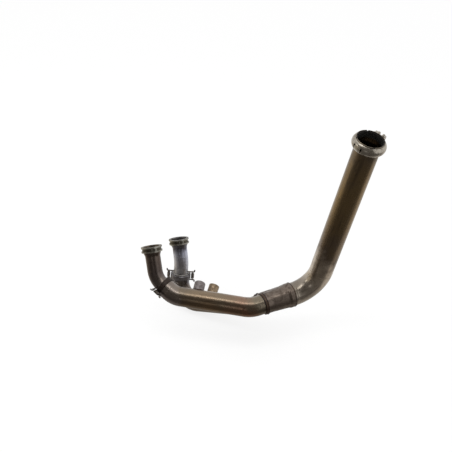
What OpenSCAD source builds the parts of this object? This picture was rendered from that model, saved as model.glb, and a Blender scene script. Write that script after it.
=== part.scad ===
// Two-into-one exhaust header of a twin-cylinder motorcycle.
// The origin is the middle of the left port face. +X runs towards the outlet, +Z is up.
// Each joint of a straight and a bend is a butt weld, dressed to a band that stands barely proud.

/* [Primary pipes] */
// Outside diameter of the two primary pipes
primary_od = 33; // [30:0.5:35]
// Wall of the primary pipes
primary_wall = 1.5; // [1.2:0.1:2]
// How much the mouth of a primary is flared in radius
mouth_flare = 2.8; // [2.4:0.1:3.4]
// Length of the flared mouth inside the port collar
mouth_len = 12; // [12:0.5:14]
// Length of the cone between the mouth and the pipe
mouth_cone = 10; // [8:1:12]
// Centreline radius of the left primary's bend
primary_left_bend = 45; // [43:1:46]
// Centreline radius of the right primary's bend
primary_right_bend = 90; // [80:1:110]

/* [Port collars] */
// Outside diameter of the lips of a port collar
collar_od = 46; // [45:0.5:50]
// Width of each lip
lip_w = 3; // [2:0.5:3.5]
// Wall of the collar in its groove
collar_wall = 1.6; // [1.2:0.1:1.9]
// Width of the two lugs that bridge the collar's groove
lug_w = 3; // [2:0.5:4]
// Angle between those lugs
lug_pitch = 22; // [18:1:30]

/* [Down pipes] */
// Outside diameter of the front and rear pipes
down_od = 42.4; // [41:0.2:43]
// Wall of the front and rear pipes
down_wall = 1.5; // [1.2:0.1:1.8]
// Centreline radius of the front pipe's bends
front_bend = 46; // [44:1:46]
// Centreline radius of the rear pipe's bends
rear_bend = 42; // [41:0.5:43]

/* [Slip joints] */
// Length of the slip ring outside the pipe's mouth
slip_ring_w = 10; // [8:1:12]
// Outside diameter of the slip ring
slip_ring_od = 46; // [45:0.5:50]
// Length of the ring's spigot inside the pipe
spigot_len = 7; // [5:1:8]
// Clearance between a slipped pipe and its bore, in radius
slip_gap = 0.1; // [0.05:0.05:0.2]

/* [Springs] */
// Outside diameter of a joint spring
spring_od = 7.6; // [7.4:0.1:8]
// Diameter of the spring wire
spring_wire = 1.4; // [1.3:0.1:1.5]
// Turns in the close-wound body
spring_turns = 11; // [10:1:13]
// Diameter of the rod of a spring hook
hook_rod = 3.2; // [3:0.2:3.4]
// Distance of a spring's axis from the pipe's axis
spring_reach = 27.8; // [27.6:0.2:29]

/* [Collector] */
// Wall of the collector
lobe_wall = 1.6; // [1.4:0.1:1.8]
// Length of the front lobe
lobe_len = 62; // [60:1:66]
// How far the pipes enter the collector
inlet_depth = 12; // [10:1:14]
// Length of the neck beyond the point where the lobes meet
neck_len = 2; // [1:0.5:2]
// How far the outlet pipe enters the neck
neck_depth = 8; // [6:1:10]
// Length of the ring in front of each collector inlet
inlet_ring_w = 5; // [4:0.5:5]
// Wall of that ring
inlet_ring_wall = 2.4; // [2:0.2:3]

/* [Outlet pipe] */
// Outside diameter of the outlet pipe
outlet_od = 50.8; // [50:0.2:51.4]
// Wall of the outlet pipe
outlet_wall = 1.5; // [1.2:0.1:1.6]
// Centreline radius of the elbow
elbow_bend = 62; // [58:1:64]
// Outside diameter of the expanded socket
socket_od = 57; // [56.6:0.2:59]
// Length of the socket
socket_len = 16; // [14:0.5:18]
// Length of the cone below the socket
socket_cone = 7; // [6:0.5:8]
// Width of the slots in the socket
slot_w = 3; // [2:0.5:4]
// Length of the slots in the socket
slot_len = 15; // [12:1:15]
// Number of slots
slot_count = 4; // [3:1:6]
// Bore of the sealing sleeve
seal_bore = 50.8; // [50:0.2:51.4]
// Length of the sealing sleeve
seal_len = 13; // [10:1:14]

/* [Clamp] */
// Width of the clamp band
clamp_w = 20; // [18:1:22]
// Thickness of the band's sheet
clamp_sheet = 1.8; // [1.5:0.1:2]
// How far the band bulges beyond the socket
clamp_bulge = 5.2; // [4.5:0.1:6]
// Distance of the band's upper edge below the socket's mouth
clamp_drop = 2; // [1:0.5:3]
// Diameter of the clamp bolt
bolt_d = 6; // [5:1:6]
// Distance of the bolt's axis from the pipe's axis
bolt_reach = 41.5; // [41:0.5:44]
// Gap between the ears of the band
ear_gap = 8; // [7:0.5:9]
// Thickness of an ear
ear_t = 2.5; // [2:0.5:3]

/* [Sensor bosses] */
// Outside diameter of a sensor boss
boss_od = 24; // [22:0.5:25]
// Bore of the boss, for an M18 x 1.5 thread
boss_bore = 16.4; // [16:0.1:16.6]
// Height of the front boss above its pipe
boss_front_h = 20; // [12:1:22]
// Height of the rear boss above its pipe
boss_rear_h = 25; // [12:1:26]
// Distance of the front boss from the corner of the front pipe
boss_front_at = 48; // [44:1:60]
// Distance of the rear boss from the corner of the rear pipe
boss_rear_at = 82; // [70:1:90]

/* [Hidden] */
$fn = 96;

// Corners of the pipe runs, where the axes of neighbouring straights meet
port_left = [0, 0, 0];
corner_left = [10, -34, -64];
joint_left = [32, -50, -76];
port_right = [53, 95, -48];
corner_right = [59, 72, -98];
joint_right = [56, 63, -135];
merge_point = [302, -55, -91];
rear_inlet = [239, -41, -127.5];
rear_aim = [301, -50, -88];
elbow_corner = [358, -30, -88];
outlet_mouth = [432, -82, 309];

// Length from a slip joint to the first corner of its down pipe
front_drop = 25;
rear_drop = 62;
// Length from the last corner of a down pipe to its collector inlet
front_lead = 32;
rear_lead = 24;
// Width of a dressed weld band and its height on both sides of the wall
seam_w = 1.2;
seam_proud = 0.12;
// Each segment stops this far from the weld's middle, inside the band
seam_root = 0.2;
// How far cuts run past the faces that they cut
eps = 1;
// Directions that fix how a joint is turned about its axis
up_side = [0, 0.98, 0.17];
right_side = [1, 0, 0];
bolt_side = [0.64, 0.77, 0];
sensor_side = [0, 0.95, 0.31];
lug_side = [0.31, -0.82, 0.48];

function unit(v) = v / norm(v);
function angle_between(a, b) = acos(max(-1, min(1, unit(a) * unit(b))));
function across(v, axis) = unit(v - unit(axis) * (v * unit(axis)));

axis_left = unit(port_left - corner_left);
axis_right = unit(port_right - corner_right);
dir_joint_left = unit(joint_left - corner_left);
dir_joint_right = unit(joint_right - corner_right);
corner_front = joint_left + dir_joint_left * front_drop;
corner_rear = joint_right + dir_joint_right * rear_drop;
dir_out = unit(elbow_corner - merge_point);
dir_rear = unit(rear_aim - rear_inlet);
axis_outlet = unit(outlet_mouth - elbow_corner);
front_inlet = merge_point - dir_out * lobe_len;
corner_merge_front = front_inlet - dir_out * front_lead;
corner_merge_rear = rear_inlet - dir_rear * rear_lead;
dir_front_run = unit(corner_merge_front - corner_front);
dir_rear_run = unit(corner_merge_rear - corner_rear);
boss_front_foot = corner_front + dir_front_run * boss_front_at;
boss_rear_foot = corner_rear + dir_rear_run * boss_rear_at;

mouth_r = primary_od / 2 + mouth_flare;
mouth_total = mouth_len + mouth_cone;
groove_r = mouth_r + slip_gap + collar_wall;
inlet_bore_r = down_od / 2 + slip_gap;
lobe_r = inlet_bore_r + lobe_wall;
neck_bore_r = outlet_od / 2 + slip_gap;
neck_r = neck_bore_r + lobe_wall;
socket_r = socket_od / 2;
seal_r = socket_r - outlet_wall - slip_gap;
// The springs' eyes bear on the hooks' rods; the joint's z = 0 is the mouth of the lower pipe
eye_r = spring_od / 2 - spring_wire / 2;
// Neighbouring coils run into each other a little, so that the body is one solid
coil_step = 0.96;
spring_pitch = spring_wire * coil_step;
spring_body = (spring_turns - 1) * spring_pitch + spring_wire;
eye_z = spring_body / 2 + spring_wire;
eye_slack = eye_r - spring_wire / 2 - hook_rod / 2;
eye_play = 0.05;
hook_z = eye_z + eye_slack - eye_play;
spring_mid = -slip_ring_w / 2;
// Bend radius and straight tip of a hook, its clearance outside the eye and the depth of its root
hook_turn_r = 3;
hook_tip = 2;
hook_clear = 0.5;
hook_root = 2;
// Bevels of the slip rings and of the sensor bosses
ring_bevel = 1;
// Depth of a collar's lugs in its lips and in the floor of its groove
lug_sink = 0.5;
boss_bevel = 1;
// The collector's neck: the cone before it and the land before the step
neck_cone = 5;
neck_land = 1;
rear_taper = 3;
// Depth of the sealing sleeve below the socket's mouth
seal_drop = 2;
// Windows in the clamp band: width, height, their foot above the band's edge and their places round it
window_w = 3.2;
window_h = 9;
window_z = 5.5;
window_turns = [153, 183];
// Clamp hardware
ear_inset = 3;
bolt_clear = 0.5;
bolt_past = 3;
bolt_mid = clamp_w / 2;
hex_flats = 1.67;
hex_corners = 2 / sqrt(3);
bolt_hex = bolt_d * hex_flats * hex_corners;
head_h = 4;
washer_t = 1.2;
nut_h = 5;
ear_face = ear_gap / 2 + ear_t;

// Places children with their z axis along d at the point p, and their x axis towards s
module aim(p, d, s) {
    z = unit(d);
    x = across(s, d);
    y = cross(z, x);
    multmatrix([
        [x[0], y[0], z[0], p[0]], [x[1], y[1], z[1], p[1]],
        [x[2], y[2], z[2], p[2]], [0, 0, 0, 1]
    ]) children();
}

module tube(len, od, id) {
    linear_extrude(len) difference() {
        circle(d = od);
        circle(d = id);
    }
}

// A tube through points, with a bend at each inner one
module pipe_run(points, bend, od, wall) {
    id = od - 2 * wall;
    last = len(points) - 1;
    dirs = [for (i = [0 : last - 1]) unit(points[i + 1] - points[i])];
    turns = [for (i = [0 : last]) i == 0 || i == last ? 0 : angle_between(dirs[i - 1], dirs[i])];
    trim = atan(seam_root / bend);
    for (i = [0 : last - 1]) {
        side = i < last - 1 ? dirs[i + 1] : -dirs[i - 1];
        head = bend * tan(turns[i] / 2) + (i > 0 ? seam_root : 0);
        tail = bend * tan(turns[i + 1] / 2) + (i < last - 1 ? seam_root : 0);
        straight = norm(points[i + 1] - points[i]) - head - tail;
        aim(points[i] + dirs[i] * head, dirs[i], side) tube(straight, od, id);
    }
    for (i = [1 : last - 1]) {
        back = bend * tan(turns[i] / 2);
        start = points[i] - dirs[i - 1] * back;
        finish = points[i] + dirs[i] * back;
        inward = across(dirs[i], dirs[i - 1]);
        aim(start + inward * bend, cross(dirs[i - 1], -inward), -inward)
            rotate([0, 0, trim - turns[i]]) rotate_extrude(angle = turns[i] - 2 * trim)
                translate([bend, 0]) difference() {
                    circle(d = od);
                    circle(d = id);
                }
        for (weld = [[start, dirs[i - 1]], [finish, dirs[i]]])
            aim(weld[0] - weld[1] * seam_w / 2, weld[1], inward)
                tube(seam_w, od + 2 * seam_proud, id - 2 * seam_proud);
    }
}

// The solid room of one bend
module bend_space(before, corner, after, bend, od) {
    dir = unit(corner - before);
    turn = angle_between(dir, after - corner);
    inward = across(after - corner, dir);
    aim(corner - dir * bend * tan(turn / 2) + inward * bend, cross(dir, -inward), -inward)
        rotate([0, 0, -turn]) rotate_extrude(angle = turn) translate([bend, 0]) circle(d = od);
}

// The flared mouth of a primary, from its face at z = 0 downwards
module flared_mouth() {
    pipe_r = primary_od / 2;
    foot = -mouth_total - seam_root;
    rotate_extrude() polygon([
        [mouth_r, 0], [mouth_r, -mouth_len], [pipe_r, -mouth_total], [pipe_r, foot],
        [pipe_r - primary_wall, foot], [pipe_r - primary_wall, -mouth_total],
        [mouth_r - primary_wall, -mouth_len], [mouth_r - primary_wall, 0]
    ]);
}

module primary_pipe(port, corner, joint, bend) {
    axis = unit(port - corner);
    weld = mouth_total + 2 * seam_root;
    bottom = joint + unit(joint - corner) * spigot_len;
    aim(port, axis, up_side) {
        flared_mouth();
        translate([0, 0, -weld - seam_w / 2])
            tube(seam_w, primary_od + 2 * seam_proud, primary_od - 2 * primary_wall - 2 * seam_proud);
    }
    pipe_run([port - axis * (weld + seam_root), corner, bottom], bend, primary_od, primary_wall);
}

module port_collar(port, axis) {
    bore_r = mouth_r + slip_gap;
    lip_r = collar_od / 2;
    aim(port, axis, lug_side) {
        rotate_extrude() polygon([
            [bore_r, 0], [lip_r, 0], [lip_r, -lip_w], [groove_r, -lip_w],
            [groove_r, lip_w - mouth_len], [lip_r, lip_w - mouth_len],
            [lip_r, -mouth_len], [bore_r, -mouth_len]
        ]);
        for (side = [-1, 1]) rotate([0, 0, side * lug_pitch / 2])
            translate([groove_r - lug_sink, -lug_w / 2, lip_w - mouth_len - lug_sink])
                cube([lip_r - groove_r, lug_w, mouth_len - 2 * lip_w + 2 * lug_sink]);
    }
}

// The ring between a primary and the larger pipe below it
module slip_ring(joint, dir) {
    bore_r = primary_od / 2 + slip_gap;
    spigot_r = down_od / 2 - down_wall - slip_gap;
    ring_r = slip_ring_od / 2;
    aim(joint, dir, up_side) rotate_extrude() polygon([
        [bore_r, -slip_ring_w], [ring_r - ring_bevel, -slip_ring_w],
        [ring_r, ring_bevel - slip_ring_w],
        [ring_r, 0], [spigot_r, 0], [spigot_r, spigot_len], [bore_r, spigot_len]
    ]);
}

// A bent rod whose foot stands on a wall of radius foot_r, with its tip along +z
module hook(foot_r) {
    leg_end = spring_reach + spring_wire / 2 + hook_clear;
    difference() {
        union() {
            translate([foot_r - hook_root, 0, 0]) rotate([0, 90, 0])
                cylinder(h = leg_end - foot_r + hook_root, d = hook_rod);
            translate([leg_end, 0, hook_turn_r]) rotate([90, 0, 0]) rotate([0, 0, -90])
                rotate_extrude(angle = 90) translate([hook_turn_r, 0]) circle(d = hook_rod);
            translate([leg_end + hook_turn_r, 0, hook_turn_r]) cylinder(h = hook_tip, d = hook_rod);
        }
        cylinder(h = 5 * hook_rod, r = foot_r + slip_gap / 2, center = true);
    }
}

// Two hooks on opposite sides of a joint; along is 1 below the joint and -1 above it
module hook_pair(joint, dir, side, foot_r, along) {
    aim(joint, dir, side) translate([0, 0, spring_mid + along * hook_z])
        for (turn = [0, 180]) rotate([0, 0, turn]) mirror([0, 0, along > 0 ? 0 : 1]) hook(foot_r);
}

// The hooks of a primary, trimmed to its bend where they stand on it
module primary_hooks(port, corner, joint, bend, side) {
    dir = unit(joint - corner);
    difference() {
        hook_pair(joint, dir, side, primary_od / 2, -1);
        bend_space(port, corner, joint, bend, primary_od + slip_gap);
    }
}

// A close-wound spring beside a joint, with a round eye at each end
module joint_spring(joint, dir, side, turn) {
    aim(joint, dir, side) rotate([0, 0, turn]) translate([spring_reach, 0, spring_mid]) {
        rotate_extrude() for (i = [0 : spring_turns - 1])
            translate([eye_r, (i - (spring_turns - 1) / 2) * spring_pitch])
                circle(d = spring_wire, $fn = 32);
        for (s = [-1, 1]) translate([0, 0, s * eye_z]) rotate([0, 90, 0])
            rotate_extrude() translate([eye_r, 0]) circle(d = spring_wire, $fn = 32);
    }
}

// A turned bush on a pipe's wall; its saddle fits the pipe
module sensor_boss_at(foot, run, height) {
    reach = down_od / 2 + height;
    difference() {
        aim(foot, across(sensor_side, run), run) rotate_extrude() polygon([
            [boss_bore / 2, 0], [boss_od / 2, 0], [boss_od / 2, reach - boss_bevel],
            [boss_od / 2 - boss_bevel, reach], [boss_bore / 2 + boss_bevel, reach],
            [boss_bore / 2, reach - boss_bevel]
        ]);
        aim(foot - run * boss_od, run, sensor_side)
            cylinder(h = 2 * boss_od, r = down_od / 2 + slip_gap / 2);
    }
}

module sensor_hole(foot, run) {
    aim(foot, across(sensor_side, run), run) cylinder(h = down_od, d = boss_bore);
}

module inlet_ring(inlet, dir) {
    aim(inlet - dir * (inlet_ring_w + slip_gap / 2), dir, up_side)
        tube(inlet_ring_w, 2 * (inlet_bore_r + inlet_ring_wall), 2 * inlet_bore_r);
}

// Everything on the inlet side of a plane across the outlet's axis, beyond the merge point by length
module inlet_side(length) {
    aim(merge_point - dir_out * 3 * lobe_len, dir_out, up_side)
        cylinder(h = 3 * lobe_len + length, r = 3 * neck_r);
}

// Two lobes that run into one neck; the outlet pipe's end stands against the step in the neck
module collector_body() {
    step = lobe_len + neck_len - neck_depth;
    end = lobe_len + neck_len;
    bore_top = outlet_od / 2 - outlet_wall;
    cone_end = step - neck_land - neck_cone;
    rear_len = norm(rear_aim - rear_inlet) + neck_len;
    rear_top = lobe_r - rear_taper;
    difference() {
        union() {
            aim(front_inlet, dir_out, up_side) rotate_extrude() polygon([
                [0, 0], [lobe_r, 0], [lobe_r, inlet_depth], [bore_top + lobe_wall, cone_end],
                [neck_r, step - neck_land], [neck_r, end], [0, end]
            ]);
            intersection() {
                aim(rear_inlet, dir_rear, up_side) rotate_extrude() polygon([
                    [0, 0], [lobe_r, 0], [lobe_r, inlet_depth], [rear_top, rear_len], [0, rear_len]
                ]);
                inlet_side(neck_len - 2 * neck_land);
            }
        }
        aim(front_inlet, dir_out, up_side) rotate_extrude() polygon([
            [0, -eps], [inlet_bore_r, -eps], [inlet_bore_r, inlet_depth], [bore_top, step],
            [neck_bore_r, step], [neck_bore_r, end + eps], [0, end + eps]
        ]);
        intersection() {
            aim(rear_inlet, dir_rear, up_side) rotate_extrude() polygon([
                [0, -eps], [inlet_bore_r, -eps], [inlet_bore_r, inlet_depth],
                [rear_top - lobe_wall, rear_len], [0, rear_len]
            ]);
            inlet_side(neck_len - neck_depth - neck_land);
        }
    }
}

// The expanded end of the outlet pipe, from its mouth at z = 0 downwards
module slotted_socket() {
    pipe_r = outlet_od / 2;
    cone_foot = -socket_len - socket_cone;
    foot = cone_foot - seam_root;
    difference() {
        rotate_extrude() polygon([
            [socket_r, 0], [socket_r, -socket_len], [pipe_r, cone_foot], [pipe_r, foot],
            [pipe_r - outlet_wall, foot], [pipe_r - outlet_wall, cone_foot],
            [socket_r - outlet_wall, -socket_len], [socket_r - outlet_wall, 0]
        ]);
        for (i = [0 : slot_count - 1]) rotate([0, 0, (i + 0.5) * 360 / slot_count])
            translate([socket_r / 2, -slot_w / 2, -slot_len]) cube([socket_r, slot_w, slot_len + eps]);
    }
}

// The clamp's frame has z up the outlet pipe from the band's lower edge, and x towards the bolt
module clamp_frame() {
    aim(outlet_mouth - axis_outlet * (clamp_drop + clamp_w), axis_outlet, bolt_side) children();
}

module band_section() {
    half = clamp_w / 2;
    arc_r = (half * half + clamp_bulge * clamp_bulge) / (2 * clamp_bulge);
    foot_r = socket_r + slip_gap;
    intersection() {
        translate([foot_r + clamp_bulge - arc_r, half]) difference() {
            circle(r = arc_r);
            circle(r = arc_r - clamp_sheet);
        }
        translate([foot_r, 0]) square([2 * clamp_bulge, clamp_w]);
    }
}

module clamp_ear(side) {
    root = socket_r + slip_gap;
    ear_h = clamp_w - 2 * ear_inset;
    near = side > 0 ? ear_gap / 2 : -ear_gap / 2 - ear_t;
    translate([0, near + ear_t, clamp_w / 2]) rotate([90, 0, 0]) linear_extrude(ear_t) {
        translate([root, -ear_h / 2]) square([bolt_reach - root, ear_h]);
        translate([bolt_reach, 0]) circle(d = ear_h);
    }
}

module port_collar_left() {
    color("#b9b2a4") port_collar(port_left, axis_left);
}

module port_collar_right() {
    color("#b9b2a4") port_collar(port_right, axis_right);
}

module primary_pipe_left() {
    color("#5b4638") primary_pipe(port_left, corner_left, joint_left, primary_left_bend);
}

module primary_pipe_right() {
    color("#6f7184") primary_pipe(port_right, corner_right, joint_right, primary_right_bend);
}

module slip_ring_left() {
    color("#2c2522") slip_ring(joint_left, dir_joint_left);
}

module slip_ring_right() {
    color("#2c2522") slip_ring(joint_right, dir_joint_right);
}

module front_pipe() {
    far_end = front_inlet + dir_out * inlet_depth;
    color("#7a4f2c") difference() {
        pipe_run([joint_left, corner_front, corner_merge_front, far_end], front_bend, down_od, down_wall);
        sensor_hole(boss_front_foot, dir_front_run);
    }
}

module rear_pipe() {
    far_end = rear_inlet + dir_rear * inlet_depth;
    color("#7a4f2c") difference() {
        pipe_run([joint_right, corner_rear, corner_merge_rear, far_end], rear_bend, down_od, down_wall);
        sensor_hole(boss_rear_foot, dir_rear_run);
    }
}

module primary_hooks_left() {
    color("#3a302a") primary_hooks(port_left, corner_left, joint_left, primary_left_bend, up_side);
}

module primary_hooks_right() {
    color("#3a302a")
        primary_hooks(port_right, corner_right, joint_right, primary_right_bend, right_side);
}

module pipe_hooks_left() {
    color("#3a302a") hook_pair(joint_left, dir_joint_left, up_side, down_od / 2, 1);
}

module pipe_hooks_right() {
    color("#3a302a") hook_pair(joint_right, dir_joint_right, right_side, down_od / 2, 1);
}

module spring_left_upper() {
    color("#4a423c") joint_spring(joint_left, dir_joint_left, up_side, 0);
}

module spring_left_lower() {
    color("#4a423c") joint_spring(joint_left, dir_joint_left, up_side, 180);
}

module spring_right_outer() {
    color("#4a423c") joint_spring(joint_right, dir_joint_right, right_side, 0);
}

module spring_right_inner() {
    color("#4a423c") joint_spring(joint_right, dir_joint_right, right_side, 180);
}

module sensor_boss_front() {
    color("#8a6a48") sensor_boss_at(boss_front_foot, dir_front_run, boss_front_h);
}

module sensor_boss_rear() {
    color("#8a7a68") sensor_boss_at(boss_rear_foot, dir_rear_run, boss_rear_h);
}

module inlet_ring_front() {
    color("#4f3a2c") inlet_ring(front_inlet, dir_out);
}

module inlet_ring_rear() {
    color("#4f3a2c") inlet_ring(rear_inlet, dir_rear);
}

module collector() {
    color("#75604a") collector_body();
}

module outlet_pipe() {
    weld = socket_len + socket_cone + 2 * seam_root;
    near_end = merge_point + dir_out * (neck_len - neck_depth);
    top_end = outlet_mouth - axis_outlet * (weld + seam_root);
    color("#6b4a2c") {
        pipe_run([near_end, elbow_corner, top_end], elbow_bend, outlet_od, outlet_wall);
        aim(outlet_mouth, axis_outlet, bolt_side) {
            slotted_socket();
            translate([0, 0, -weld - seam_w / 2])
                tube(seam_w, outlet_od + 2 * seam_proud, outlet_od - 2 * outlet_wall - 2 * seam_proud);
        }
    }
}

module sealing_sleeve() {
    color("#2a2624") aim(outlet_mouth - axis_outlet * (seal_len + seal_drop), axis_outlet, bolt_side)
        tube(seal_len, 2 * seal_r, seal_bore);
}

module clamp_band() {
    end_angle = asin((ear_gap / 2 + ear_t / 2) / socket_r);
    color("#c8c2b4") clamp_frame() difference() {
        union() {
            rotate([0, 0, end_angle]) rotate_extrude(angle = 360 - 2 * end_angle) band_section();
            for (side = [-1, 1]) clamp_ear(side);
        }
        translate([bolt_reach, 2 * ear_face, bolt_mid]) rotate([90, 0, 0])
            cylinder(h = 4 * ear_face, d = bolt_d + bolt_clear);
        for (turn = window_turns) rotate([0, 0, turn])
            translate([socket_r, -window_w / 2, window_z]) cube([2 * clamp_bulge, window_w, window_h]);
        translate([0, 0, -eps]) cylinder(h = clamp_w + 2 * eps, r = socket_r + slip_gap);
    }
}

module clamp_bolt() {
    shank = 2 * ear_face + washer_t + nut_h + bolt_past;
    color("#a8a49a") clamp_frame() translate([bolt_reach, -ear_face, bolt_mid]) rotate([-90, 0, 0]) {
        cylinder(h = shank, d = bolt_d);
        translate([0, 0, -head_h]) cylinder(h = head_h, d = bolt_hex, $fn = 6);
    }
}

module clamp_washer() {
    color("#a8a49a") clamp_frame() translate([bolt_reach, ear_face, bolt_mid]) rotate([-90, 0, 0])
        tube(washer_t, bolt_d * 2, bolt_d + 2 * slip_gap);
}

module clamp_nut() {
    color("#a8a49a") clamp_frame()
        translate([bolt_reach, ear_face + washer_t, bolt_mid]) rotate([-90, 0, 0])
        difference() {
            cylinder(h = nut_h, d = bolt_hex, $fn = 6);
            translate([0, 0, -eps]) cylinder(h = nut_h + 2 * eps, d = bolt_d + 2 * slip_gap);
        }
}

port_collar_left();
port_collar_right();
primary_pipe_left();
primary_pipe_right();
slip_ring_left();
slip_ring_right();
front_pipe();
rear_pipe();
primary_hooks_left();
primary_hooks_right();
pipe_hooks_left();
pipe_hooks_right();
spring_left_upper();
spring_left_lower();
spring_right_outer();
spring_right_inner();
sensor_boss_front();
sensor_boss_rear();
inlet_ring_front();
inlet_ring_rear();
collector();
outlet_pipe();
sealing_sleeve();
clamp_band();
clamp_bolt();
clamp_washer();
clamp_nut();
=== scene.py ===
import math

import bpy
import numpy as np
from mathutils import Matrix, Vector


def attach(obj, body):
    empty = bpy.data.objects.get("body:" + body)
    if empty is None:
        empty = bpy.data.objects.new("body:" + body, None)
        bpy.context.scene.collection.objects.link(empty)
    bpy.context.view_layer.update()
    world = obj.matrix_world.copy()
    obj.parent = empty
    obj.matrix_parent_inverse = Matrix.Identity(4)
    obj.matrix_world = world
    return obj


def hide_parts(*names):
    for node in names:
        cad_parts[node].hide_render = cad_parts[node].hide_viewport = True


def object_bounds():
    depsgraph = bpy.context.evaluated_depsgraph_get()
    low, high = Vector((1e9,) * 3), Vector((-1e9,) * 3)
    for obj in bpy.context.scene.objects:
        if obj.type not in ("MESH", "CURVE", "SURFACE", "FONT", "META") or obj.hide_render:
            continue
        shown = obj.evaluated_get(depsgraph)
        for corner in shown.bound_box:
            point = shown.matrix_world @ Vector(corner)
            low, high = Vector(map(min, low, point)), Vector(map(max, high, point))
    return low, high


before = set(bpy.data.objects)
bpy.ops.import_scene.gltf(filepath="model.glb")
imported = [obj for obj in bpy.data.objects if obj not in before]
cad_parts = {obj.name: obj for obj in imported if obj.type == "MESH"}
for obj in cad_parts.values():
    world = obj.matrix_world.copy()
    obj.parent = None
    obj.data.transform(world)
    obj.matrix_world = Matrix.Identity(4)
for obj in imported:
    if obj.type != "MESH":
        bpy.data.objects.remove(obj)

cad_low, cad_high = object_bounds()
MM = 0.001

# Points round a ring, degrees from which an edge stays sharp, and the radius of a closed end
AROUND = 96
SHARP = 35
TINY = 1e-5

# Places of the model, in metres, as in the part's source
PORT_LEFT = np.array([0.0, 0.0, 0.0])
CORNER_LEFT = np.array([10, -34, -64]) * MM
JOINT_LEFT = np.array([32, -50, -76]) * MM
PORT_RIGHT = np.array([53, 95, -48]) * MM
CORNER_RIGHT = np.array([59, 72, -98]) * MM
JOINT_RIGHT = np.array([56, 63, -135]) * MM
MERGE = np.array([302, -55, -91]) * MM
REAR_INLET = np.array([239, -41, -127.5]) * MM
REAR_AIM = np.array([301, -50, -88]) * MM
ELBOW_CORNER = np.array([358, -30, -88]) * MM
OUTLET_MOUTH = np.array([432, -82, 309]) * MM
FRONT_DROP = 25 * MM
REAR_DROP = 62 * MM
FRONT_LEAD = 32 * MM
REAR_LEAD = 24 * MM

# Sizes of the model, in metres
PRIMARY_R = 16.5 * MM
MOUTH_R = 19.3 * MM
MOUTH_LEN = 12 * MM
MOUTH_CONE = 10 * MM
LEFT_BEND = 45 * MM
RIGHT_BEND = 90 * MM
DOWN_R = 21.2 * MM
WALL = 1.5 * MM
FRONT_BEND = 46 * MM
REAR_BEND = 42 * MM
SLIP_RING_W = 10 * MM
SPIGOT_LEN = 7 * MM
LOBE_LEN = 62 * MM
LOBE_R = 22.9 * MM
LOBE_DEPTH = 12 * MM
LOBE_WALL = 1.6 * MM
REAR_TAPER = 3 * MM
INLET_DEPTH = 12 * MM
INLET_RING_W = 5 * MM
INLET_RING_R = 23.7 * MM
NECK_LEN = 2 * MM
NECK_DEPTH = 8 * MM
OUTLET_R = 25.4 * MM
ELBOW_BEND = 62 * MM
SOCKET_R = 28.5 * MM
SOCKET_LEN = 16 * MM
SOCKET_CONE = 7 * MM
SLOT_W = 3 * MM
SLOT_LEN = 15 * MM
SLOT_COUNT = 4
BOSS_R = 12 * MM
BOSS_BORE_R = 8.2 * MM
BOSS_PITCH = 1.5 * MM
BOSS_FRONT_H = 20 * MM
BOSS_REAR_H = 25 * MM
BOSS_FRONT_AT = 48 * MM
BOSS_REAR_AT = 82 * MM
SPRING_R = 3.1 * MM
SPRING_WIRE = 1.4 * MM
SPRING_TURNS = 11
SPRING_PITCH = SPRING_WIRE * 0.96
SPRING_EYE = 8.8 * MM
SPRING_REACH = 27.8 * MM
CLAMP_DROP = 2 * MM
CLAMP_W = 20 * MM
BOLT_R = 3 * MM
BOLT_REACH = 41.5 * MM
BOLT_HEAD = 4 * MM
BOLT_FLATS = 5.01 * MM
BOLT_PITCH = 1 * MM
EAR_FACE = 6.5 * MM
WASHER_T = 1.2 * MM
NUT_H = 5 * MM
BOLT_PAST = 3 * MM
BEAD = 1.1 * MM

UP_SIDE = np.array([0, 0.98, 0.17])
RIGHT_SIDE = np.array([1.0, 0, 0])
BOLT_SIDE = np.array([0.64, 0.77, 0])
SENSOR_SIDE = np.array([0, 0.95, 0.31])


def unit(v):
    v = np.asarray(v, float)
    return v / np.linalg.norm(v)


def across(v, axis):
    """The part of v that is square to axis, one unit long."""
    return unit(v - unit(axis) * np.dot(v, unit(axis)))


AXIS_LEFT = unit(PORT_LEFT - CORNER_LEFT)
AXIS_RIGHT = unit(PORT_RIGHT - CORNER_RIGHT)
DIR_LEFT = unit(JOINT_LEFT - CORNER_LEFT)
DIR_RIGHT = unit(JOINT_RIGHT - CORNER_RIGHT)
DIR_OUT = unit(ELBOW_CORNER - MERGE)
DIR_REAR = unit(REAR_AIM - REAR_INLET)
AXIS_OUTLET = unit(OUTLET_MOUTH - ELBOW_CORNER)
CORNER_FRONT = JOINT_LEFT + DIR_LEFT * FRONT_DROP
CORNER_REAR = JOINT_RIGHT + DIR_RIGHT * REAR_DROP
FRONT_INLET = MERGE - DIR_OUT * LOBE_LEN
MERGE_FRONT = FRONT_INLET - DIR_OUT * FRONT_LEAD
MERGE_REAR = REAR_INLET - DIR_REAR * REAR_LEAD
RUN_FRONT = unit(MERGE_FRONT - CORNER_FRONT)
RUN_REAR = unit(MERGE_REAR - CORNER_REAR)
REAR_LEN = np.linalg.norm(REAR_AIM - REAR_INLET)


# Meshes

def add(name, data):
    """A new object in the scene."""
    made = bpy.data.objects.new(name, data)
    bpy.context.scene.collection.objects.link(made)
    return made


def share(s, start, length):
    """How much of the length after start lies before s, from 0 to 1."""
    return min(max((s - start) / length, 0), 1)


def ease(t):
    """A share that starts and ends softly."""
    return t * t * (3 - 2 * t)


def relax(line, times):
    """A line smoothed between its ends."""
    line = line.copy()
    for _ in range(times):
        line[1:-1] = (line[:-2] + 2 * line[1:-1] + line[2:]) / 4
    return line


def whole_turn(n):
    return np.linspace(0, 2 * math.pi, n, endpoint=False)


def circle(r, z, a=None):
    """Points round the z axis. r and z are numbers or one value for each angle."""
    a = whole_turn(AROUND) if a is None else a
    return np.stack([r * np.cos(a), r * np.sin(a), np.broadcast_to(z, a.shape)], axis=1)


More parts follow.
